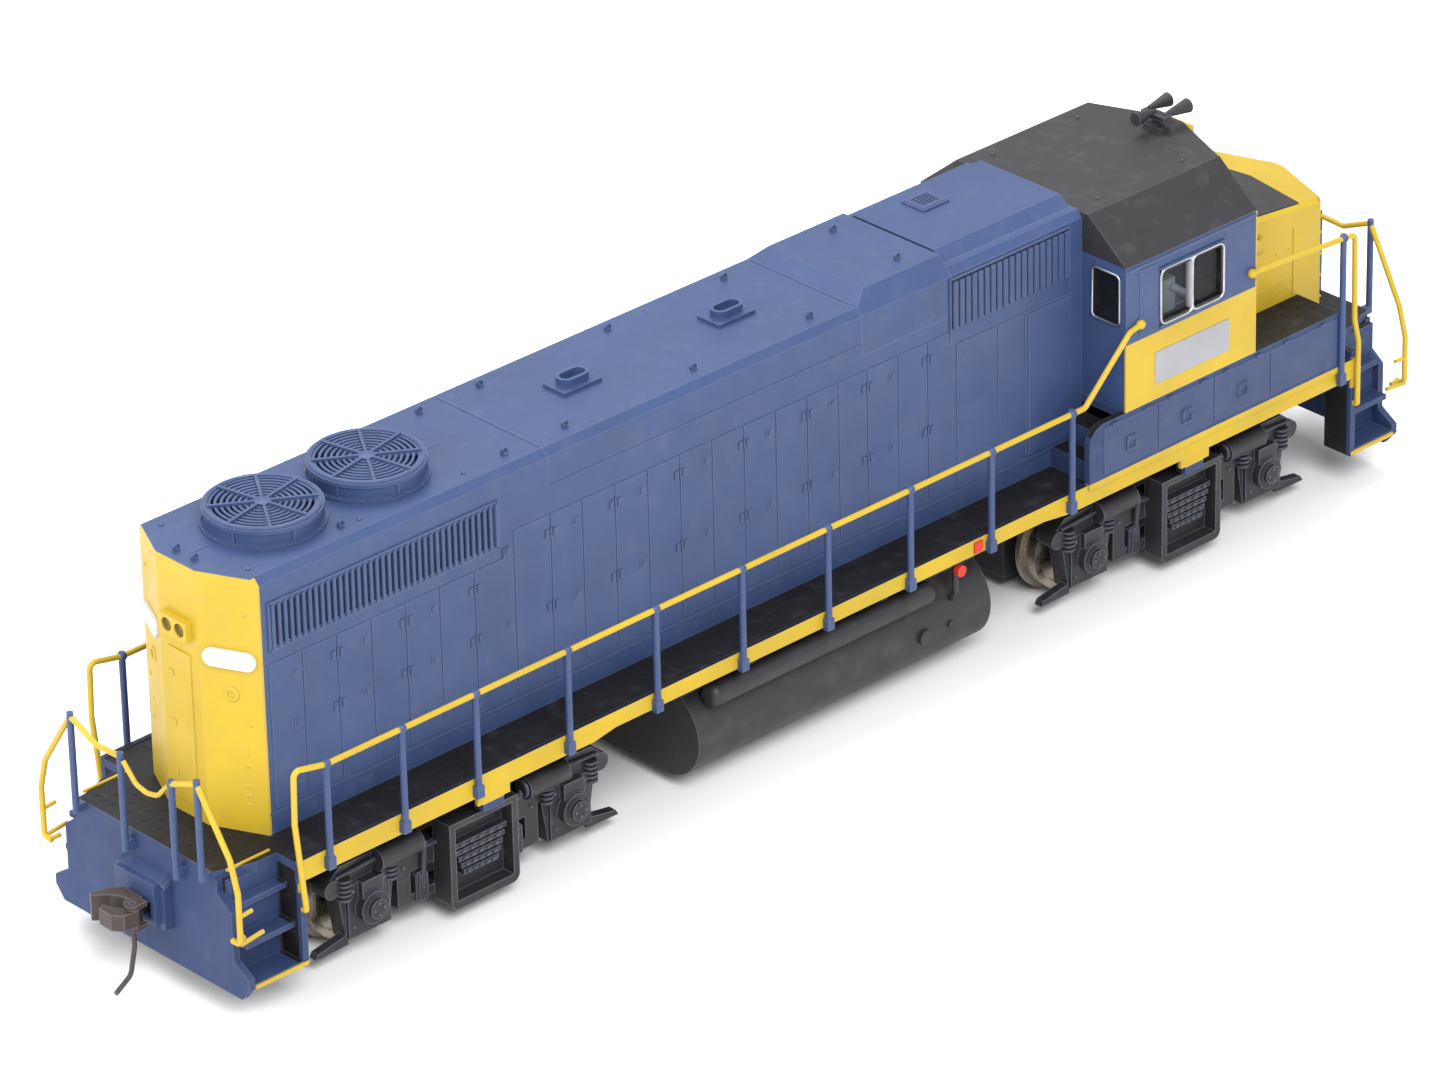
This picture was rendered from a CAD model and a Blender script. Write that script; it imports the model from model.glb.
"""The look of a model diesel locomotive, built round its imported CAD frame."""
import math

import bmesh
import bpy
from mathutils import Matrix, Vector


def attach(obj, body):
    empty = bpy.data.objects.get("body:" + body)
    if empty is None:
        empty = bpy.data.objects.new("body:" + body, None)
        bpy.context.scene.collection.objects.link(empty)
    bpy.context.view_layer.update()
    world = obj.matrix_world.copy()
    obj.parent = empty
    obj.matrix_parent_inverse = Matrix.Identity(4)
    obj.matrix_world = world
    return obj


MM = 0.001
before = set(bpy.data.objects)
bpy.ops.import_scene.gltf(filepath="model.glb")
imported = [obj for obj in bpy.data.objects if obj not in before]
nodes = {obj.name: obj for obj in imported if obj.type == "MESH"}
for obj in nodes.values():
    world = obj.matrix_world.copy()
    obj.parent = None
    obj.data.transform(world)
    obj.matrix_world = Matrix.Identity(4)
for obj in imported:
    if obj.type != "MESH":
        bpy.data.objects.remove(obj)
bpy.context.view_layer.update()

# ---- sizes of the CAD part, in mm --------------------------------------------
HOOD_Y, HOOD_TOP, WALK_Z = 10.3, 51.9, 18.8
HOOD_END, HOOD_PEAK = -86.6, -89.9
CAB_X0, CAB_X1, CAB_Y, CAB_EAVE, CAB_FLAT, CAB_TOP = 46.0, 69.3, 17.8, 46.5, 11.3, 51.7
NOSE_DECK, NOSE_X, NOSE_PEAK, NOSE_Y = 26.8, 88.9, 92.4, 10.5
TRUCK_X, HALF_BASE, AXLE_Z = 59.5, 15.75, 6.475
SILL_X, SILL_Y = 88.6, 17.4          # ends and faces of the side sills
MOTOR_Z = 22.65
END_RAIL_X = 97.55                   # plane of the end rails
STEP_RAIL_Y = 17.5                   # their lower ends, beside the steps
ROOF_SEAMS = (-42.4, 8.4)            # ends of the roof hatch insert
RAISED_TOP = 53.2                    # top of the filter and blower hatches
VENT = (30.4, 34.6, 1.4, 5.2)        # square vent on the blower hatch: x0, x1, y0, y1
FAN_X, FAN_TOP = (-76.7, -61.0), 54.42
RADIATOR = (-85.2, -50.5, 42.3, 48.3)   # side grille at the rear: x0, x1, z0, z1
LOUVERS = (23.5, 43.3, 43.8, 50.3)      # louvers beside the cab
SIDE_WINDOW, WINDOW_BAR_X = (52.0, 63.2, 36.8, 44.3), 57.6
REAR_WINDOW = (-16.8, -12.2, 38.4, 45.2)   # y0, y1, z0, z1
BAND_TOP = 36.0                      # upper edge of the yellow band on the cab
STRIPE_Z = (14.9, 19.15)             # yellow stripe along the sill
SHOULDER_Z, NECK_Z = 35.9, 40.32     # the seated figure's shirt, its head above


# ---- materials ---------------------------------------------------------------
def srgb(r, g, b):
    """Linear colour from 8-bit display values."""
    def lin(c):
        c /= 255
        return c / 12.92 if c <= 0.04045 else ((c + 0.055) / 1.055) ** 2.4
    return (lin(r), lin(g), lin(b), 1.0)


BLUE = srgb(52, 70, 110)
DEEP_BLUE = srgb(44, 60, 98)
YELLOW = srgb(188, 158, 36)
BLACK = srgb(42, 41, 44)
DECK_BLACK = srgb(20, 19, 21)
ROOF_BLACK = srgb(40, 39, 42)


class Graph:
    """A material's node tree with short ways to add nodes to it."""

    def __init__(self, name):
        self.mat = bpy.data.materials.new(name)
        self.mat.use_nodes = True
        self.tree = self.mat.node_tree
        self.bsdf = self.tree.nodes["Principled BSDF"]
        self.coord = self.tree.nodes.new("ShaderNodeTexCoord").outputs["Object"]

    def link(self, a, b):
        self.tree.links.new(a, b)

    def noise(self, scale, detail=3.0, stretch=(1, 1, 1)):
        node = self.tree.nodes.new("ShaderNodeTexNoise")
        node.inputs["Scale"].default_value = scale
        node.inputs["Detail"].default_value = detail
        if stretch == (1, 1, 1):
            self.link(self.coord, node.inputs["Vector"])
        else:
            mapping = self.tree.nodes.new("ShaderNodeMapping")
            mapping.inputs["Scale"].default_value = stretch
            self.link(self.coord, mapping.inputs["Vector"])
            self.link(mapping.outputs["Vector"], node.inputs["Vector"])
        return node.outputs["Fac"]

    def ramp(self, value, low, high, a=0.0, b=1.0):
        node = self.tree.nodes.new("ShaderNodeMapRange")
        node.inputs["From Min"].default_value = low
        node.inputs["From Max"].default_value = high
        node.inputs["To Min"].default_value = a
        node.inputs["To Max"].default_value = b
        self.link(value, node.inputs["Value"])
        return node.outputs["Result"]

    def mix(self, fac, a, b):
        node = self.tree.nodes.new("ShaderNodeMix")
        node.data_type = "RGBA"
        for socket, value in ((node.inputs[0], fac), (node.inputs[6], a), (node.inputs[7], b)):
            if isinstance(value, (tuple, float, int)):
                socket.default_value = value
            else:
                self.link(value, socket)
        return node.outputs[2]

    def math(self, op, a, b=0.0, c=0.0):
        node = self.tree.nodes.new("ShaderNodeMath")
        node.operation = op
        for socket, value in zip(node.inputs, (a, b, c)):
            if isinstance(value, (float, int)):
                socket.default_value = value
            else:
                self.link(value, socket)
        return node.outputs[0]

    def axes(self):
        node = self.tree.nodes.new("ShaderNodeSeparateXYZ")
        self.link(self.coord, node.inputs[0])
        return node.outputs

    def between(self, value, low, high):
        """1 where value lies between low and high (mm), with a hard edge."""
        above = self.math("GREATER_THAN", value, low * MM)
        below = self.math("LESS_THAN", value, high * MM)
        return self.math("MULTIPLY", above, below)

    def edges(self, radius=0.22):
        """1 on sharp edges, 0 on flat faces."""
        soft = self.tree.nodes.new("ShaderNodeBevel")
        soft.samples = 3
        soft.inputs["Radius"].default_value = radius * MM
        flat = self.tree.nodes.new("ShaderNodeNewGeometry")
        dot = self.tree.nodes.new("ShaderNodeVectorMath")
        dot.operation = "DOT_PRODUCT"
        self.link(soft.outputs["Normal"], dot.inputs[0])
        self.link(flat.outputs["Normal"], dot.inputs[1])
        return self.ramp(dot.outputs["Value"], 0.985, 0.85)

    def bump(self, height, strength, distance):
        node = self.tree.nodes.new("ShaderNodeBump")
        node.inputs["Strength"].default_value = strength
        node.inputs["Distance"].default_value = distance * MM
        self.link(height, node.inputs["Height"])
        self.link(node.outputs["Normal"], self.bsdf.inputs["Normal"])


EDGE_COLOUR = (0.24, 0.27, 0.36, 1)   # paler paint on worn edges
MOTTLE_COLOUR = (0.02, 0.02, 0.03, 1)
DUST_COLOUR = (0.20, 0.20, 0.22, 1)


def finish_paint(g, colour, rough=0.5, wear=0.25, grain=0.25, spec=0.4):
    """Colour mottling, paler edges, dust and a fine moulded grain over a base colour."""
    mottle = g.ramp(g.noise(90, 4), 0.35, 0.7, 0.0, 0.16)
    tint = g.mix(mottle, colour, MOTTLE_COLOUR)
    dust = g.ramp(g.noise(420, 5), 0.55, 0.8, 0.0, 0.10)
    tint = g.mix(dust, tint, DUST_COLOUR)
    edge = g.math("MULTIPLY", g.edges(), wear)
    tint = g.mix(edge, tint, EDGE_COLOUR)
    g.link(tint, g.bsdf.inputs["Base Color"])
    g.link(g.ramp(g.noise(260, 3), 0.3, 0.7, rough - 0.06, rough + 0.08), g.bsdf.inputs["Roughness"])
    g.bsdf.inputs["Specular IOR Level"].default_value = spec
    g.bump(g.noise(2600, 2), grain, 0.02)
    return g.mat


def paint(name, colour, **options):
    return finish_paint(Graph(name), colour, **options)


def hood_paint():
    """Blue hood whose rear end is yellow."""
    g = Graph("hood_blue_yellow_end")
    x, y, z = g.axes()
    behind = g.math("LESS_THAN", x, (HOOD_END + 0.35) * MM)
    mask = g.math("MULTIPLY", behind, g.math("LESS_THAN", z, (HOOD_TOP - 0.1) * MM))
    return finish_paint(g, g.mix(mask, BLUE, YELLOW), rough=0.46)


def cab_paint():
    """Black roof, yellow sides under the windows and front, blue round the windows."""
    g = Graph("cab_black_blue_yellow")
    x, y, z = g.axes()
    away = g.math("ABSOLUTE", y)
    roof_edge = g.math("MULTIPLY", g.math("GREATER_THAN", z, (CAB_EAVE - 0.05) * MM),
                       g.math("GREATER_THAN", x, (CAB_X0 - 0.5) * MM))
    side = g.math("GREATER_THAN", away, (CAB_Y - 0.25) * MM)
    band = g.math("MULTIPLY", side, g.math("LESS_THAN", z, BAND_TOP * MM))
    front = g.math("MULTIPLY", g.math("GREATER_THAN", x, (CAB_X1 - 0.2) * MM),
                   g.math("LESS_THAN", z, (CAB_EAVE - 0.1) * MM))
    yellow = g.math("MAXIMUM", band, front)
    colour = g.mix(yellow, BLUE, YELLOW)
    return finish_paint(g, g.mix(roof_edge, colour, ROOF_BLACK), rough=0.5)


def nose_paint():
    """Yellow nose with a black anti-glare panel on top."""
    g = Graph("nose_yellow_black_top")
    x, y, z = g.axes()
    fall, rear_height = 0.105, 41.0
    slope = g.math("MULTIPLY_ADD", x, -fall, (rear_height + CAB_X1 * fall - 0.22) * MM)
    up = g.math("GREATER_THAN", z, slope)
    back = g.math("LESS_THAN", g.math("ADD", x, g.math("MULTIPLY", g.math("ABSOLUTE", y), 0.18)), 87.2 * MM)
    mask = g.math("MULTIPLY", up, back)
    return finish_paint(g, g.mix(mask, YELLOW, ROOF_BLACK), rough=0.45)


def frame_paint():
    """Black walkway, yellow sill stripe, blue ends and battery boxes."""
    g = Graph("frame_black_yellow_blue")
    x, y, z = g.axes()
    normal = g.tree.nodes.new("ShaderNodeNewGeometry").outputs["Normal"]
    split = g.tree.nodes.new("ShaderNodeSeparateXYZ")
    g.link(normal, split.inputs[0])
    up = g.math("GREATER_THAN", split.outputs[2], 0.5)
    far = g.math("ABSOLUTE", x)
    side = g.math("GREATER_THAN", g.math("ABSOLUTE", y), (SILL_Y - 0.35) * MM)
    stripe = g.math("MULTIPLY", side, g.between(z, *STRIPE_Z))
    stripe = g.math("MULTIPLY", stripe, g.math("LESS_THAN", far, SILL_X * MM))
    deck = g.math("MULTIPLY", up, g.math("LESS_THAN", far, (SILL_X + 0.4) * MM))
    deck = g.math("MAXIMUM", deck, g.math("MULTIPLY", up, g.math("GREATER_THAN", z, (WALK_Z - 0.3) * MM)))
    under = g.math("LESS_THAN", g.math("ABSOLUTE", y), (SILL_Y - 0.7) * MM)
    under = g.math("MULTIPLY", under, g.math("LESS_THAN", far, SILL_X * MM))
    under = g.math("MULTIPLY", under, g.math("LESS_THAN", z, (WALK_Z - 0.4) * MM))
    colour = g.mix(stripe, DEEP_BLUE, YELLOW)
    colour = g.mix(g.math("MAXIMUM", deck, under), colour, DECK_BLACK)
    return finish_paint(g, colour, rough=0.6, spec=0.3)


def fitting_paint():
    """Black tank fittings whose cap and cut-off are red."""
    g = Graph("fitting_black_red")
    red = g.math("GREATER_THAN", g.math("ABSOLUTE", g.axes()[1]), 16.62 * MM)
    return finish_paint(g, g.mix(red, BLACK, srgb(196, 48, 20)), rough=0.45, wear=0.0)


def pocket_paint():
    """Coupler boxes: blue outside the pilot, black behind it."""
    g = Graph("coupler_pocket")
    out = g.math("GREATER_THAN", g.math("ABSOLUTE", g.axes()[0]), 95.6 * MM)
    return finish_paint(g, g.mix(out, BLACK, DEEP_BLUE), rough=0.55)


def interior_paint():
    """Dark cab interior with a generic figure in a grey-blue shirt."""
    g = Graph("cab_interior_paint")
    x, y, z = g.axes()
    place = g.math("MULTIPLY", g.between(x, 55.22, 61.2), g.math("LESS_THAN", y, -9.5 * MM))
    head = g.math("MULTIPLY", place, g.math("GREATER_THAN", z, NECK_Z * MM))
    shirt = g.math("MULTIPLY", place, g.between(z, SHOULDER_Z, NECK_Z))
    colour = g.mix(shirt, srgb(58, 60, 64), srgb(150, 158, 172))
    return finish_paint(g, g.mix(head, colour, srgb(226, 138, 104)), rough=0.65, wear=0.0)


def gasket_paint():
    """Black window gaskets with a silver centre bar on the side windows."""
    g = Graph("window_gasket")
    x, y, z = g.axes()
    side_wall = g.math("GREATER_THAN", g.math("ABSOLUTE", y), 17.0 * MM)
    lip = g.math("MULTIPLY", side_wall, g.between(x, WINDOW_BAR_X - 0.25, WINDOW_BAR_X + 0.25))
    return finish_paint(g, g.mix(lip, srgb(18, 18, 19), srgb(186, 188, 192)), rough=0.35, wear=0.0)


def metal(name, colour, rough=0.3, streak=(1, 1, 1)):
    """Metal with stains, uneven polish and fine brushing along streak."""
    g = Graph(name)
    stain = g.ramp(g.noise(300, 4, streak), 0.4, 0.75, 0.0, 0.45)
    g.link(g.mix(stain, colour, (0.10, 0.09, 0.08, 1)), g.bsdf.inputs["Base Color"])
    g.bsdf.inputs["Metallic"].default_value = 1.0
    g.link(g.ramp(g.noise(700, 3), 0.3, 0.7, rough - 0.08, rough + 0.14), g.bsdf.inputs["Roughness"])
    g.bump(g.noise(1800, 2, streak), 0.2, 0.02)
    return g.mat


def glass():
    """Clear panes with faint smears."""
    g = Graph("clear_glass")
    smear = g.ramp(g.noise(250, 3), 0.4, 0.8, 0.03, 0.14)
    g.link(smear, g.bsdf.inputs["Roughness"])
    g.link(g.mix(g.ramp(g.noise(120, 2), 0.3, 0.7), (0.03, 0.035, 0.04, 1), (0.015, 0.018, 0.02, 1)),
           g.bsdf.inputs["Base Color"])
    g.bsdf.inputs["Alpha"].default_value = 0.2
    g.bsdf.inputs["IOR"].default_value = 1.49
    g.bump(g.noise(60, 1), 0.05, 0.05)
    return g.mat


M = {
    "hood": hood_paint(), "cab": cab_paint(), "nose": nose_paint(), "frame": frame_paint(),
    "blue": paint("blue_paint", BLUE, rough=0.46),
    "deep": paint("deep_blue_paint", DEEP_BLUE, rough=0.5),
    "yellow": paint("yellow_paint", YELLOW, rough=0.42, wear=0.1),
    "black": paint("black_plastic", BLACK, rough=0.52, wear=0.35),
    "truck": paint("truck_black", srgb(38, 37, 39), rough=0.46, wear=0.5, grain=0.5),
    "interior": interior_paint(),
    "coupler": paint("coupler_brown", srgb(58, 47, 43), rough=0.5, wear=0.5),
    "white": paint("board_white", srgb(208, 208, 205), rough=0.35, wear=0.0),
    "fitting": fitting_paint(), "pocket": pocket_paint(), "gasket": gasket_paint(),
    "plate": paint("plate_grey", srgb(150, 151, 156), rough=0.5, wear=0.0, spec=0.5),
    "tread": paint("tread_black", DECK_BLACK, rough=0.6, wear=0.0, spec=0.3),
    "shade": paint("shadow_blue", srgb(26, 34, 58), rough=0.7, wear=0.0, spec=0.2),
    "silver": metal("silver_foil", srgb(196, 198, 202), 0.35),
    "steel": metal("steel", srgb(168, 168, 170), 0.28, (1, 40, 1)),
    "wheel": metal("wheel_nickel", srgb(176, 168, 152), 0.3, (30, 1, 30)),
    "chassis": metal("cast_chassis", srgb(84, 84, 88), 0.5),
    "brass": metal("brass", srgb(205, 160, 84), 0.28, (1, 30, 30)),
    "board": paint("board_green", srgb(24, 88, 46), rough=0.35),
    "gear": paint("gear_acetal", srgb(214, 210, 196), rough=0.4),
    "glass": glass(),
}

NODE_LOOK = {
    "hood": ("long_hood_shell",),
    "blue": ("roof_hatch", "filter_hatch", "blower_hatch", "fan_housings", "cooling_fans", "fan_grilles",
             "radiator_grilles", "lift_rings", "exhaust_stacks", "stanchions", "end_posts"),
    "cab": ("cab_shell",), "nose": ("short_hood_shell",), "frame": ("walkway_frame",),
    "yellow": ("handrails", "end_rails_front", "end_rails_rear", "headlight_housings"),
    "gasket": ("window_frames",), "glass": ("cab_glazing", "headlight_lenses"),
    "interior": ("cab_interior",), "white": ("number_boards",),
    "pocket": ("coupler_boxes",),
    "black": ("air_horn", "fuel_tank", "air_reservoirs", "front_gearbox", "rear_gearbox",
              "front_gearbox_cover", "rear_gearbox_cover"),
    "fitting": ("fuel_fittings",), "chassis": ("chassis_frame",),
    "steel": ("motor_can", "motor_shaft", "armature", "frame_screws"),
    "brass": ("flywheels", "front_worm", "rear_worm"), "board": ("circuit_board",),
    "coupler": ("front_coupler_head", "rear_coupler_head", "front_coupler_knuckle", "rear_coupler_knuckle"),
    "truck": ("front_truck_sideframes", "rear_truck_sideframes"),
    "gear": tuple(f"{e}_{k}" for e in ("front", "rear")
                  for k in ("worm_wheel", "inner_idler", "middle_idler", "outer_idler")),
    "wheel": tuple(f"{e}_{k}_wheelset" for e in ("front", "rear") for k in ("inner", "outer")),
}
for look, names in NODE_LOOK.items():
    for name in names:
        mesh = nodes[name].data
        mesh.materials.clear()
        mesh.materials.append(M[look])


# ---- mesh helpers (all in mm) ------------------------------------------------
class Piece:
    """A mesh gathered from boxes, bars, discs and sheets, in mm in the row frame."""

    def __init__(self):
        self.bm = bmesh.new()

    def add(self, verts, faces):
        made = [self.bm.verts.new(v) for v in verts]
        for face in faces:
            self.bm.faces.new([made[i] for i in face])
        return made

    def box(self, x0, x1, y0, y1, z0, z1, bevel=0.0):
        verts = [(x, y, z) for x in (x0, x1) for y in (y0, y1) for z in (z0, z1)]
        faces = [(0, 1, 3, 2), (4, 6, 7, 5), (0, 4, 5, 1), (2, 3, 7, 6), (0, 2, 6, 4), (1, 5, 7, 3)]
        made = self.add(verts, faces)
        if bevel:
            edges = list({e for v in made for e in v.link_edges})
            bmesh.ops.bevel(self.bm, geom=edges, offset=bevel, segments=2, affect="EDGES")
        return self

    def loft(self, rings):
        """Closed skin through rings of equal length, capped at both ends."""
        n = len(rings[0])
        verts = [p for ring in rings for p in ring]
        faces = [(k * n + i, k * n + (i + 1) % n, (k + 1) * n + (i + 1) % n, (k + 1) * n + i)
                 for k in range(len(rings) - 1) for i in range(n)]
        faces += [tuple(range(n))[::-1], tuple((len(rings) - 1) * n + i for i in range(n))]
        self.add(verts, faces)
        return self

    def turned(self, centre, axis, profile, segments=20):
        """Solid of revolution: profile is (distance along the axis, radius) pairs."""
        axis = Vector(axis).normalized()
        side = axis.orthogonal().normalized()
        other = axis.cross(side)
        rings = []
        for along, radius in profile:
            mid = Vector(centre) + axis * along
            turn = [2 * math.pi * i / segments for i in range(segments)]
            reach = max(radius, 0.004)
            rings.append([mid + (side * math.cos(t) + other * math.sin(t)) * reach for t in turn])
        return self.loft(rings)

    def bar(self, a, b, radius, segments=8):
        a, b = Vector(a), Vector(b)
        return self.turned(a, b - a, [(0, radius), ((b - a).length, radius)], segments)

    def tube(self, points, radius, segments=8, closed=False):
        """Round wire along points, mitred at the corners."""
        points = [Vector(p) for p in points]
        n = len(points)
        rings = []
        side = None
        for i, p in enumerate(points):
            before = points[i - 1] if (i or closed) else p
            after = points[(i + 1) % n] if (i < n - 1 or closed) else p
            along = (after - before).normalized()
            if side is None:
                side = along.orthogonal().normalized()
            side = (side - along * side.dot(along)).normalized()
            other = along.cross(side)
            turn = [2 * math.pi * k / segments for k in range(segments)]
            rings.append([p + (side * math.cos(t) + other * math.sin(t)) * radius for t in turn])
        if not closed:
            return self.loft(rings)
        verts = [p for ring in rings for p in ring]
        faces = [(k * segments + i, k * segments + (i + 1) % segments,
                  ((k + 1) % n) * segments + (i + 1) % segments, ((k + 1) % n) * segments + i)
                 for k in range(n) for i in range(segments)]
        self.add(verts, faces)
        return self

    def plate(self, centre, along, up, out, length, height, thick, bevel=0.0):
        """Box lying on a surface: centre on the surface, out its outward normal."""
        along, up, out = (Vector(v).normalized() for v in (along, up, out))
        c = Vector(centre)
        verts = [c + along * a * length / 2 + up * b * height / 2 + out * t
                 for a in (-1, 1) for b in (-1, 1) for t in (-0.05, thick)]
        faces = [(0, 1, 3, 2), (4, 6, 7, 5), (0, 4, 5, 1), (2, 3, 7, 6), (0, 2, 6, 4), (1, 5, 7, 3)]
        made = self.add(verts, faces)
        if bevel:
            edges = list({e for v in made for e in v.link_edges})
            bmesh.ops.bevel(self.bm, geom=edges, offset=bevel, segments=1, affect="EDGES")
        return self

    def side_plate(self, x0, x1, z0, z1, y, thick, bevel=0.05):
        """Thin plate on the -Y side wall at y."""
        return self.plate(((x0 + x1) / 2, y, (z0 + z1) / 2), (1, 0, 0), (0, 0, 1), (0, -1, 0),
                          x1 - x0, z1 - z0, thick, bevel)

    def mirrored(self):
        """Adds the mirror image on the other side of the XZ plane."""
        self.transformed_copy(Matrix.Scale(-1, 4, (0, 1, 0)))
        return self

    def turned_copy(self):
        """Adds the same turned half round about Z."""
        self.transformed_copy(Matrix.Rotation(math.pi, 4, "Z"))
        return self

    def transformed_copy(self, matrix):
        geom = self.bm.verts[:] + self.bm.edges[:] + self.bm.faces[:]
        copy = bmesh.ops.duplicate(self.bm, geom=geom)
        verts = [v for v in copy["geom"] if isinstance(v, bmesh.types.BMVert)]
        bmesh.ops.transform(self.bm, matrix=matrix, verts=verts)

    def out(self, name, body, look, slot, smooth=True, angle=32):
        """Makes the object, riding on a body, with a look and a record slot."""
        bmesh.ops.transform(self.bm, matrix=Matrix.Scale(MM, 4), verts=self.bm.verts)
        bmesh.ops.recalc_face_normals(self.bm, faces=self.bm.faces)
        mesh = bpy.data.meshes.new(name)
        self.bm.to_mesh(mesh)
        self.bm.free()
        obj = bpy.data.objects.new(name, mesh)
        bpy.context.scene.collection.objects.link(obj)
        mesh.materials.append(M[look])
        if smooth:
            mesh.polygons.foreach_set("use_smooth", [True] * len(mesh.polygons))
            mesh.set_sharp_from_angle(angle=math.radians(angle))
        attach(obj, body)
        return obj


ROOT = "locomotive"
SIDES = (-1, 1)


# ---- long hood: doors, seams, latches, hinges, louvers -----------------------
def hood_doors():
    """Raised door panels on both sides, divided by the seams between them."""
    p = Piece()
    low, high, gap = 21.9, 43.6, 0.22
    radiator_end = -49

    def top_at(x):
        return 40.6 if x < radiator_end else high
    seams = [-85.6, -80.6, -75.4, -70.2, -65.0, -59.8, -54.4, -48.2, -42.4, -37.4, -32.2, -27.0, -21.8,
             -16.6, -11.4, -6.2, -1.0, 4.2, 9.0, 14.2, 19.2, 23.6]
    for a, b in zip(seams, seams[1:]):
        p.side_plate(a + gap / 2, b - gap / 2, low, top_at(a), -HOOD_Y, 0.12)
    for a, b in ((24.2, 31.0), (31.3, 35.6), (36.0, 44.0)):
        p.side_plate(a, b, low, 41.6, -HOOD_Y, 0.12)
    p.mirrored()
    p.out("hood_doors", ROOT, "blue", "hood_blue")
    q = Piece()
    for i, x in enumerate(seams[1:-1]):
        for z in (24.6, 31.6, top_at(x) - 2.4):
            if i % 2:
                for dx in (-0.62, 0.62):
                    q.box(x + dx - 0.3, x + dx + 0.3, -HOOD_Y - 0.3, -HOOD_Y, z - 0.55, z + 0.55, 0.06)
                q.bar((x, -HOOD_Y - 0.18, z - 0.7), (x, -HOOD_Y - 0.18, z + 0.7), 0.15, 8)
            else:
                q.box(x - 1.7, x - 0.5, -HOOD_Y - 0.2, -HOOD_Y, z - 0.65, z + 0.65, 0.06)
                q.box(x - 1.35, x - 0.75, -HOOD_Y - 0.4, -HOOD_Y, z - 0.2, z + 0.45, 0.06)
    q.mirrored()
    q.out("door_hardware", ROOT, "blue", "hood_blue")


def louvers():
    """The dense vertical louvers near the cab, the radiator slats and the shade behind them."""
    x0, x1, z0, z1 = LOUVERS
    first, last, count = x0 + 0.4, x1 - 0.2, 19
    p = Piece()
    for i in range(count):
        x = first + i * (last - first) / (count - 1)
        p.box(x - 0.4, x + 0.4, -HOOD_Y - 0.42, -HOOD_Y, z0 + 0.1, z1 - 0.1, 0.08)
    p.mirrored()
    p.out("cab_louvers", ROOT, "blue", "hood_blue")
    dark = Piece()
    dark.box(x0, x1, -HOOD_Y - 0.05, -HOOD_Y + 0.2, z0, z1)
    x0, x1, z0, z1 = RADIATOR
    first, last, count = x0 + 0.4, x1 - 0.4, 38
    q = Piece()
    for i in range(count):
        x = first + i * (last - first) / (count - 1)
        q.box(x - 0.1, x + 0.36, -HOOD_Y - 0.38, -HOOD_Y + 0.3, z0 + 0.2, z1 - 0.2, 0.07)
    q.mirrored()
    q.out("grille_slats", ROOT, "blue", "hood_blue")
    dark.box(x0 + 0.3, x1 - 0.3, -HOOD_Y - 0.02, -HOOD_Y + 0.4, z0 + 0.15, z1 - 0.15)
    dark.mirrored()
    vx0, vx1, vy0, vy1 = VENT
    dark.box(vx0 + 0.75, vx1 - 0.75, vy0 + 0.75, vy1 - 0.75, RAISED_TOP, RAISED_TOP + 0.16)
    dark.out("louver_shadow", ROOT, "shade", "hood_blue")
    r = Piece()
    for z in (z0, z1):
        r.box(x0, x1, -HOOD_Y - 0.2, -HOOD_Y, z - 0.16, z + 0.16)
    for x in (x0, x1):
        r.box(x - 0.16, x + 0.16, -HOOD_Y - 0.2, -HOOD_Y, z0 - 0.1, z1 + 0.1)
    r.mirrored()
    r.out("grille_rims", ROOT, "blue", "hood_blue")


def rivet(p, x, y, z, out, radius=0.2, height=0.14):
    """Small domed head on a surface."""
    p.turned((x, y, z), out, [(-0.05, radius), (height * 0.5, radius), (height, radius * 0.5)], 8)


def hood_trim():
    """Roof seams, studs, rows of rivets and the base strip of the hood."""
    p = Piece()
    for x in ROOF_SEAMS:
        p.box(x - 0.13, x + 0.13, -8.9, 8.9, HOOD_TOP - 0.02, HOOD_TOP + 0.09)
    p.box(-87.6, -50.0, -0.1, 0.1, HOOD_TOP - 0.02, HOOD_TOP + 0.06)
    for x in (-85.5, -68.9, -53.0, -46.5):
        for y in (-7.6, 7.6):
            rivet(p, x, y, HOOD_TOP, (0, 0, 1), 0.28, 0.3)
    for x in range(-40, 8, 6):
        for y in (-8.3, 8.3):
            rivet(p, x, y, HOOD_TOP, (0, 0, 1), 0.18, 0.12)
    for side in SIDES:
        y = side * HOOD_Y
        strip, base = sorted((y, y + side * 0.1)), sorted((y, y + side * 0.16))
        for i in range(24):
            rivet(p, -41.8 + i * 2.8, y, 46.9, (0, side, 0), 0.11, 0.1)
        for i in range(46):
            rivet(p, -85.4 + i * 2.85, y, 20.4, (0, side, 0), 0.1, 0.08)
        p.box(-42.3, 8.3, *strip, HOOD_TOP - 4.75, HOOD_TOP - 4.6)
        p.box(-86.4, CAB_X0 - 0.2, *base, 21.35, 21.6)
    p.out("hood_trim", ROOT, "blue", "hood_blue")


def rear_facet(side):
    """Both ends, direction and outward normal of a slanting rear facet."""
    a, b = Vector((HOOD_END, side * HOOD_Y, 0)), Vector((HOOD_PEAK, side * 2.3, 0))
    along = (b - a).normalized()
    out = Vector((-abs(along.y), side * abs(along.x), 0)).normalized()
    return a, b, along, out


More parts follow.
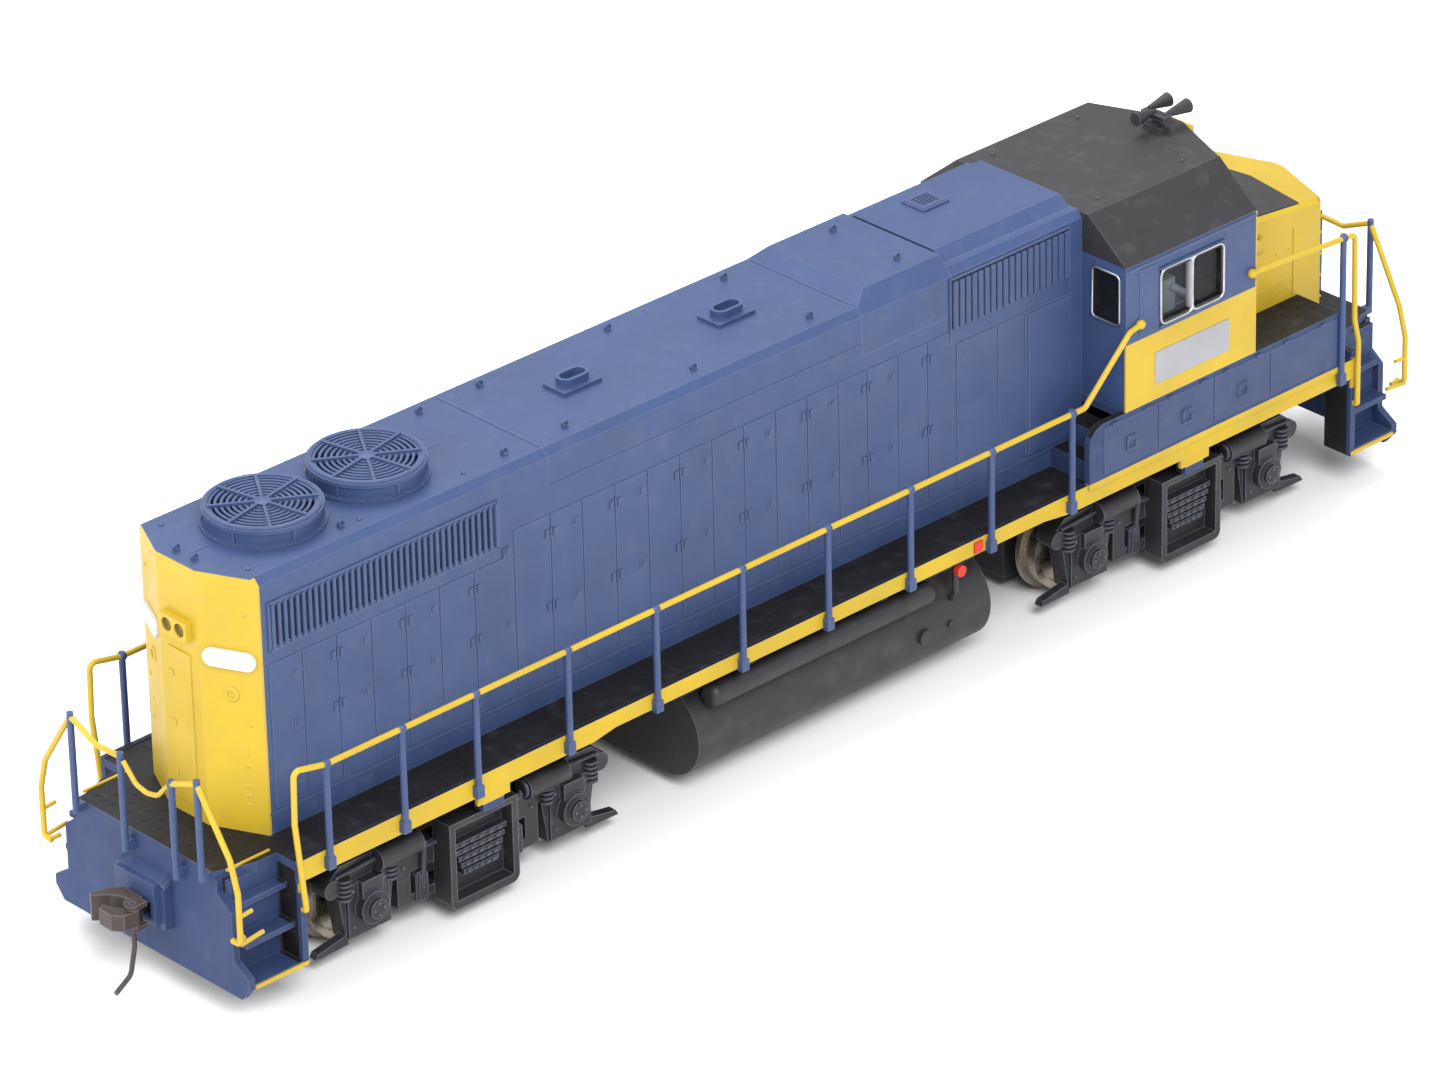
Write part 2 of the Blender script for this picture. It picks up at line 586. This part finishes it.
def rear_end():
    """Door, lamps, bolts and plates on the yellow end of the long hood."""
    p = Piece()
    for side in SIDES:
        a, b, along, out = rear_facet(side)

        def at(t, z):
            return a.lerp(b, t) + Vector((0, 0, z))
        p.turned(at(0.44, 36.6), out, [(-0.1, 0.95), (0.3, 0.95), (0.42, 0.8), (0.42, 0.55), (0.2, 0.5),
                             (0.2, 0.02)], 20)
        for t, z in ((0.2, 33.0), (0.52, 30.4), (0.26, 27.6), (0.6, 24.8), (0.22, 47.2), (0.75, 33.2)):
            p.turned(at(t, z), out, [(-0.1, 0.32), (0.14, 0.32), (0.26, 0.2)], 10)
        for z in (22.4, 23.6, 24.8):
            p.plate(at(0.35, z), along, (0, 0, 1), out, 2.6, 0.5, 0.18, 0.06)
        p.plate(at(0.3, 29.3), along, (0, 0, 1), out, 1.1, 1.5, 0.22, 0.08)
        ring = [at(0.46, 46.4) + along * 0.9 * math.cos(t) + Vector((0, 0, 0.9 * math.sin(t))) + out * 0.05
                for t in [2 * math.pi * i / 20 for i in range(20)]]
        p.tube(ring, 0.09, 6, True)
    for z in (24.0, 30.5, 37.0):
        p.box(HOOD_PEAK - 0.26, HOOD_PEAK, 1.1, 1.9, z - 0.45, z + 0.45, 0.1)
    p.box(HOOD_PEAK - 0.14, HOOD_PEAK + 0.1, -1.9, 2.0, 20.6, 40.4, 0.05)
    p.out("rear_end_fittings", ROOT, "yellow", "nose_yellow")


def nose_detail():
    """Sand fillers, seams, grab irons and hinges of the short hood."""
    p = Piece()
    p.turned((77.6, -NOSE_Y, 36.2), (0, -1, 0), [(-0.05, 1.1), (0.22, 1.1), (0.34, 0.9), (0.34, 0.02)], 24)
    p.box(77.2, 78.0, -NOSE_Y - 0.5, -NOSE_Y, 37.1, 37.5, 0.1)
    for x in (70.4, 83.9):
        p.box(x - 0.08, x + 0.08, -NOSE_Y - 0.12, -NOSE_Y, 27.2, 36.4)
    p.box(70.4, 83.9, -NOSE_Y - 0.12, -NOSE_Y, 29.3, 29.5)
    for x in (71.6, 74.4, 80.8, 83.0):
        for z in (28.3, 33.8):
            rivet(p, x, -NOSE_Y, z, (0, -1, 0), 0.14, 0.12)
    corner, peak = Vector((NOSE_X, -NOSE_Y, 0)), Vector((NOSE_PEAK, -0.7, 0))
    along = (peak - corner).normalized()
    out = Vector((along.y, -along.x, 0))
    for z in (24.4, 27.4, 30.4, 33.4):
        a = corner + along * 1.2 + Vector((0, 0, z))
        b = corner + along * 4.4 + Vector((0, 0, z))
        p.tube([a, a + out * 0.75, b + out * 0.75, b], 0.16, 6)
    p.mirrored()
    for z in (24.2, 29.5, 34.5):
        p.box(NOSE_PEAK, NOSE_PEAK + 0.22, 0.35, 0.65, z - 0.5, z + 0.5, 0.06)
    p.out("nose_fittings", ROOT, "yellow", "nose_yellow")


# ---- fans, stacks, roof ------------------------------------------------------
def fan_detail():
    """Bolts round the drums, and the arms, rim and hub cap of the guards."""
    p = Piece()
    up = Vector((0, 0, 1))

    def ray(degrees):
        t = math.radians(degrees)
        return Vector((math.cos(t), math.sin(t), 0))
    for x in FAN_X:
        centre = Vector((x, 0, 0))
        for i in range(16):
            bolt = centre + ray(22.5 * i) * 7.1
            rivet(p, bolt.x, bolt.y, HOOD_TOP + 0.35, up, 0.16, 0.12)
        p.tube([centre + ray(9 * k) * 6.6 + up * (FAN_TOP + 0.03) for k in range(40)], 0.16, 6, True)
        for k in range(4):
            arm = ray(12 + 45 * k)
            p.plate(centre + up * FAN_TOP, arm, arm.cross(up), up, 13.0, 0.34, 0.22)
        p.turned((x, 0, FAN_TOP - 0.12), up, [(0, 1.0), (0.28, 1.0), (0.4, 0.7)], 20)
        for k in range(6):
            face = ray(20 + 60 * k)
            p.plate(centre + up * (FAN_TOP - 1.22) + face * 6.82, face.cross(up), up, face, 0.3, 1.9, 0.18)
    p.out("fan_detail", ROOT, "blue", "hood_blue")


# ---- sills, battery boxes, walkway tread -------------------------------------
def treads():
    """Raised pattern of slanting bars on the walkways and decks."""
    p = Piece()
    pitch, half, width = 1.35, 0.24, 0.07

    def pads(x0, x1, y0, y1, z):
        nx, ny = int((x1 - x0) / pitch), int((y1 - y0) / pitch)
        for i in range(nx):
            for j in range(ny):
                x, y = x0 + (i + 0.5) * (x1 - x0) / nx, y0 + (j + 0.5) * (y1 - y0) / ny
                a = Vector((-half, -half if (i + j) % 2 else half))
                n = Vector((a.y, -a.x)).normalized() * width
                base = [(x + d.x, y + d.y) for d in (a - n, -a - n, -a + n, a + n)]
                p.loft([[(u, v, z + dz) for u, v in base] for dz in (-0.02, 0.045)])
    for side in SIDES:
        y0, y1 = sorted((side * 10.9, side * 16.9))
        pads(-84.0, 40.2, y0, y1, WALK_Z)
        pads(70.0, 84.3, y0, y1, NOSE_DECK)
    pads(-95.2, -90.6, -11.5, 11.5, WALK_Z)
    p.out("walkway_tread", ROOT, "tread", "underbody_black", smooth=False)


def battery_boxes():
    """Lids, latches, hinges and seams of the boxes under the cab."""
    p = Piece()
    y = SILL_Y + 0.4
    for a, b in ((42.2, 51.6), (51.9, 61.6), (61.9, 71.8), (72.1, 84.2)):
        p.side_plate(a, b, 19.7, 26.1, -y, 0.1)
    latch = ((-0.9, 0.9, 23.3, 23.55), (-0.9, -0.6, 21.7, 23.5), (-0.9, 0.9, 21.6, 21.9),
             (0.55, 0.9, 21.7, 22.6))
    for x in (46.9, 56.8, 66.9):
        for x0, x1, z0, z1 in latch:
            p.box(x + x0, x + x1, -y - 0.36, -y, z0, z1, 0.08)
    for x in (44.0, 49.8, 54.0, 59.8, 64.0, 69.8, 75.0, 81.5):
        p.bar((x - 0.5, -y - 0.14, 26.2), (x + 0.5, -y - 0.14, 26.2), 0.17, 8)
    p.mirrored()
    p.out("battery_box_detail", ROOT, "deep", "frame_blue")


def vent_and_hatches():
    """Slats and rim of the square vent, and the panels and rims near the cab."""
    x0, x1, y0, y1 = VENT
    top = RAISED_TOP + 0.3
    p = Piece()
    for i in range(5):
        y = y0 + 0.95 + 0.46 * i
        p.box(x0 + 0.75, x1 - 0.75, y - 0.09, y + 0.09, RAISED_TOP + 0.1, top)
    for x in (x0, x1):
        p.box(x - 0.16, x + 0.16, y0, y1, RAISED_TOP - 0.05, top, 0.05)
    for y in (y0, y1):
        p.box(x0 - 0.1, x1 + 0.1, y - 0.16, y + 0.16, RAISED_TOP - 0.05, top, 0.05)
    p.out("roof_vent_slats", ROOT, "blue", "hood_blue")
    q = Piece()
    q.side_plate(36.4, 43.6, 21.9, 41.3, -HOOD_Y, 0.3, 0.08)
    for x0, x1, z0, z1 in ((23.2, 43.6, 50.4, 50.7), (23.0, 23.3, 42.2, 50.7), (43.5, 43.8, 42.2, 50.7)):
        q.box(x0, x1, -HOOD_Y - 0.22, -HOOD_Y, z0, z1, 0.05)
    q.mirrored()
    q.out("hood_side_panels", ROOT, "blue", "hood_blue")


CANOPY_X0, CANOPY_X1 = 95.2, 97.8     # root and tip of the canopy over the coupler


def upright(x, y0, y1, z0, z1):
    """Four corners of a rectangle across X."""
    return [(x, y0, z0), (x, y1, z0), (x, y1, z1), (x, y0, z1)]


def rounded(x0, x1, z0, z1, r):
    """Points of a rectangle with rounded corners, as (along, up) pairs."""
    corners = ((x1 - r, z1 - r, 0), (x0 + r, z1 - r, 90), (x0 + r, z0 + r, 180), (x1 - r, z0 + r, 270))
    return [(u + r * math.cos(math.radians(start + 30 * k)), v + r * math.sin(math.radians(start + 30 * k)))
            for u, v, start in corners for k in range(4)]


def end_detail():
    """Coupler canopies, step edges, rungs and small castings on both pilots."""
    p = Piece()
    for y in (-3.9, 3.9):
        p.loft([upright(x, y - 0.35, y + 0.35, low, high)
                for x, low, high in ((CANOPY_X0, 8.0, 15.4), (CANOPY_X1, 8.4, 14.0))])
    p.loft([[(x, -4.3, low), (x, 4.3, low), (x, half, high), (x, -half, high)]
            for x, half, low, high in ((CANOPY_X0, 3.4, 14.7, 15.7), (CANOPY_X1, 3.6, 13.8, 14.5))])
    for y in (-8.4, -7.6, 7.6, 8.4):
        p.turned((96.0, y, 11.2), (1, 0, 0), [(-0.6, 0.3), (0.3, 0.3), (0.4, 0.2)], 10)
    for y in (-10.8, 10.8):
        p.plate((95.9, y, 12.6), (0, 1, 0), (0, 0, 1), (1, 0, 0), 1.5, 0.45, 0.35, 0.1)
        p.plate((95.9, y, 17.2), (0, 1, 0), (0, 0, 1), (1, 0, 0), 1.1, 0.5, 0.3, 0.1)
    p.turned_copy()
    p.out("pilot_detail", ROOT, "deep", "frame_blue")
    q = Piece()
    for side in SIDES:
        y = side * STEP_RAIL_Y
        q.box(SILL_X - 0.9, 95.6, *sorted((side * 17.3, side * 17.52)), 5.25, 5.75)
        q.box(SILL_X + 0.2, 95.2, *sorted((side * 12.6, side * 12.9)), WALK_Z - 0.1, WALK_Z + 0.18)
        q.bar((END_RAIL_X, y, 15.6), (END_RAIL_X - 1.9, y, 15.8), 0.26)
        q.bar((END_RAIL_X, y, 12.0), (END_RAIL_X - 3.4, y, 12.4), 0.28)
    q.turned_copy()
    q.out("step_edges", ROOT, "yellow", "rail_yellow")


def window_lips():
    """Thin bright lips round the side panes and the rear windows."""
    p = Piece()
    x0, x1, z0, z1 = SIDE_WINDOW
    for a, b in ((x0, WINDOW_BAR_X), (WINDOW_BAR_X, x1)):
        p.tube([(x, -CAB_Y - 0.15, z) for x, z in rounded(a, b, z0, z1, 0.9)], 0.15, 6, True)
    p.tube([(CAB_X0 - 0.16, y, z) for y, z in rounded(*REAR_WINDOW, 0.6)], 0.13, 6, True)
    p.mirrored()
    p.out("window_lips", ROOT, "silver", "gasket_silver")


def cab_detail():
    """Blank plates, side panels, sills over and under the windows, and roof bolts of the cab."""
    y = CAB_Y
    p = Piece()
    p.side_plate(51.15, 64.35, 28.9, 33.3, -y, 0.12)
    p.mirrored()
    p.out("blank_plates", ROOT, "plate", "gasket_silver")
    q = Piece()
    for x in (48.0, 51.4, 63.8, 66.9):
        for z in (37.6, 41.2, 45.0):
            rivet(q, x, -y, z, (0, -1, 0), 0.12, 0.1)
    q.side_plate(48.4, 51.6, 36.5, 45.5, -y, 0.1)
    x0, x1, z0, z1 = SIDE_WINDOW
    q.box(x0 - 0.2, x1 + 0.2, -y - 0.3, -y, z0 - 0.45, z0 - 0.05, 0.1)
    q.box(x0 - 0.3, x1 + 0.3, -y - 0.34, -y, z1 + 0.05, z1 + 0.35, 0.1)
    q.mirrored()
    q.out("cab_trim", ROOT, "cab", "cab_blue")
    r = Piece()
    for x in (50.0, 65.0):
        for yy in (-9.0, 9.0):
            rivet(r, x, yy, CAB_TOP, (0, 0, 1), 0.26, 0.3)
    r.out("cab_roof_trim", ROOT, "black", "cab_blue")


# ---- trucks ------------------------------------------------------------------
FACE_Y = -13.3                       # outer face of the truck side frames


def axle_box(p, ax):
    """Bolts, springs, brake cylinder, hanger and shoe round one axle end of the -Y side."""
    inward = -math.copysign(1, ax)
    for dx, dz in ((-0.75, 0.0), (0.75, 0.0), (0.0, 0.75), (0.0, -0.75)):
        rivet(p, ax + dx, -15.6, AXLE_Z + dz, (0, -1, 0), 0.2, 0.2)
    for dx in (-2.4, 2.4):
        for dz in (-2.2, 2.6):
            rivet(p, ax + dx, FACE_Y - 0.5, AXLE_Z + dz, (0, -1, 0), 0.26, 0.22)
    for dx in (-3.5, 3.5):
        for k in range(5):
            p.turned((ax + dx, FACE_Y - 0.2, 8.3 + 0.62 * k), (0, 0, 1),
                     [(0, 0.75), (0.12, 0.95), (0.36, 0.95), (0.48, 0.75)], 16)
    rod_y = FACE_Y - 0.6
    p.turned((ax + inward * 7.5, rod_y, 12.0), (inward, 0, 0), [(0, 1.2), (0.3, 1.1), (0.4, 0.6)], 16)
    p.bar((ax + inward * 7.0, rod_y, 12.0), (ax + inward * 8.6, rod_y, 11.0), 0.4, 8)
    p.bar((ax + inward * 8.6, rod_y, 11.2), (ax + inward * 8.4, FACE_Y - 0.1, 4.2), 0.36, 8)
    p.box(*sorted((ax + inward * 7.4, ax + inward * 9.3)), -13.8, -11.6, 3.2, 7.2, 0.3)


def truck_detail():
    """Axle box fittings, frame bolts, hanger step treads and the brake pipe of each truck."""
    for end, sign in (("front", 1), ("rear", -1)):
        p = Piece()
        for ax in (-HALF_BASE, HALF_BASE):
            axle_box(p, ax)
        for x in (-10.0, -6.6, 6.6, 10.0):
            rivet(p, x, FACE_Y, 8.6, (0, -1, 0), 0.3, 0.25)
        for i in range(5):
            width, z = 3.6 - 0.3 * i, 9.5 - 0.95 * i
            for k in range(5):
                x = (2 * k - 4) * width / 5
                p.box(x - 0.28, x + 0.28, -15.85, -15.55, z, z + 0.4, 0.06)
        pipe = ((-20.5, 0.2, 11.6), (-13.0, 0.6, 12.2), (-6.2, 0.5, 10.4),
                (6.2, 0.5, 10.4), (13.0, 0.6, 12.2), (20.5, 0.2, 11.6))
        p.tube([(x, FACE_Y - out, z) for x, out, z in pipe], 0.26, 8)
        p.mirrored()
        if sign < 0:
            bmesh.ops.transform(p.bm, matrix=Matrix.Rotation(math.pi, 4, "Z"), verts=p.bm.verts)
        bmesh.ops.translate(p.bm, vec=(sign * TRUCK_X, 0, 0), verts=p.bm.verts)
        p.out(f"{end}_truck_detail", f"{end}_truck", "truck", "truck_black")


def worm_threads():
    """Helical thread round each worm."""
    length, radius, turn, steps = 7.2, 1.42, 0.29, 110
    x0 = TRUCK_X + 9.5 - length / 2
    for end, sign in (("front", 1), ("rear", -1)):
        p = Piece()
        p.tube([(sign * (x0 + length * k / steps), sign * radius * math.cos(k * turn),
                 MOTOR_Z + radius * math.sin(k * turn)) for k in range(steps + 1)], 0.16, 6)
        p.out(f"{end}_worm_thread", f"{end}_worm_body", "brass", "worm_brass")


hood_doors()
louvers()
hood_trim()
rear_end()
nose_detail()
fan_detail()
treads()
battery_boxes()
cab_detail()
vent_and_hatches()
end_detail()
window_lips()
truck_detail()
worm_threads()


# ---- floor, light, camera ----------------------------------------------------
def floor():
    """Plain pale floor under the wheels."""
    mesh = bpy.data.meshes.new("studio_floor")
    size = 3.0
    mesh.from_pydata([(-size, -size, 0), (size, -size, 0), (size, size, 0), (-size, size, 0)], [],
                     [(0, 1, 2, 3)])
    obj = bpy.data.objects.new("studio_floor", mesh)
    bpy.context.scene.collection.objects.link(obj)
    g = Graph("pale_floor")
    g.link(g.mix(g.ramp(g.noise(6, 2), 0.3, 0.7), (0.86, 0.86, 0.86, 1), (0.90, 0.90, 0.90, 1)),
           g.bsdf.inputs["Base Color"])
    g.bsdf.inputs["Roughness"].default_value = 0.9
    mesh.materials.append(g.mat)


def area_light(name, place, target, size, power):
    """Round soft light (metres, watts) aimed at target."""
    data = bpy.data.lights.new(name, "AREA")
    data.shape = "DISK"
    data.size = size
    data.energy = power
    obj = bpy.data.objects.new(name, data)
    obj.location = place
    obj.rotation_euler = (Vector(target) - Vector(place)).to_track_quat("-Z", "Y").to_euler()
    bpy.context.scene.collection.objects.link(obj)


def studio():
    """Floor, three soft lights and an even white world."""
    floor()
    middle = (0, 0, 0.03)
    area_light("key", (-0.35, -0.75, 0.85), middle, 0.7, 13)
    area_light("fill", (-0.9, 0.2, 0.5), middle, 0.8, 6)
    area_light("top", (0.2, 0.35, 0.95), middle, 0.8, 8)
    world = bpy.data.worlds.new("studio_world")
    world.use_nodes = True
    world.node_tree.nodes["Background"].inputs["Color"].default_value = (1, 1, 1, 1)
    world.node_tree.nodes["Background"].inputs["Strength"].default_value = 0.75
    bpy.context.scene.world = world
    bpy.context.scene.view_settings.view_transform = "Standard"


def camera():
    yaw, pitch, roll = math.radians(42.89), math.radians(28.13), math.radians(-1.3)
    target, distance = Vector((-5.56, 0, 21.94)) * MM, 970.9 * MM
    forward = Vector((math.sin(yaw) * math.cos(pitch), math.cos(yaw) * math.cos(pitch), -math.sin(pitch)))
    right = Vector((math.cos(yaw), -math.sin(yaw), 0))
    up = right.cross(forward)
    right_rolled = right * math.cos(roll) + up * math.sin(roll)
    up_rolled = -right * math.sin(roll) + up * math.cos(roll)
    data = bpy.data.cameras.new("camera")
    data.sensor_width = 36.0
    data.lens = 200.3
    data.clip_start, data.clip_end = 0.01, 20
    obj = bpy.data.objects.new("camera", data)
    axes = Matrix((right_rolled, up_rolled, -forward)).transposed().to_4x4()
    obj.matrix_world = Matrix.Translation(target - forward * distance) @ axes
    bpy.context.scene.collection.objects.link(obj)
    bpy.context.scene.camera = obj


studio()
camera()
